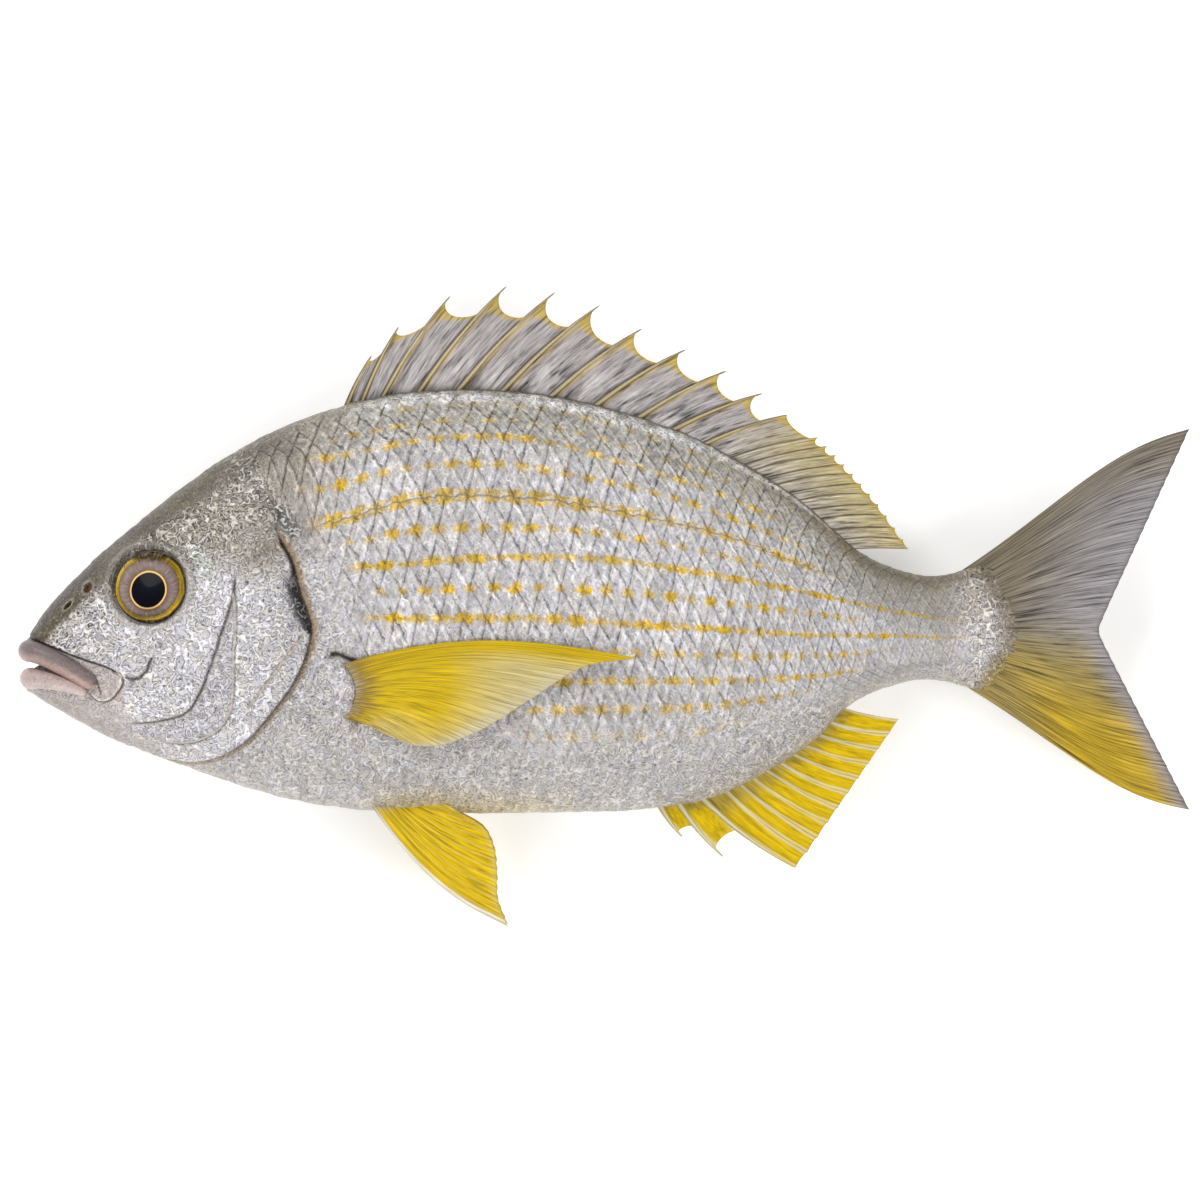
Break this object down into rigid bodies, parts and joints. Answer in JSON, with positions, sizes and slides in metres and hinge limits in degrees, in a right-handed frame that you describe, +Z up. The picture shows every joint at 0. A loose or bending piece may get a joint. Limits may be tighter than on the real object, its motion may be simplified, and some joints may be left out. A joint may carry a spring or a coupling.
{
  "type": "whole raw fish",
  "caption": "Whole raw seabream lying on its side: deep silvery body with golden dotted rows, spiny dorsal fin, forked tail and yellow pectoral, pelvic and anal fins.",
  "frame": {"origin": "centre of the footprint, on the surface the fish lies on", "axes": "+X from head to tail, +Y from belly to back, +Z up out of the shown left flank"},
  "size_m": [0.3, 0.1642, 0.0425],
  "materials": {
    "skin": "moist silvery scaled skin with golden dotted rows and thin yellow to grey fins",
    "eye": "wet clear eye, dark pupil in a golden brown iris"
  },
  "bodies": {
    "root": {"fish": "skin", "eye_left": "eye", "eye_right": "eye"}
  },
  "joints": []
}
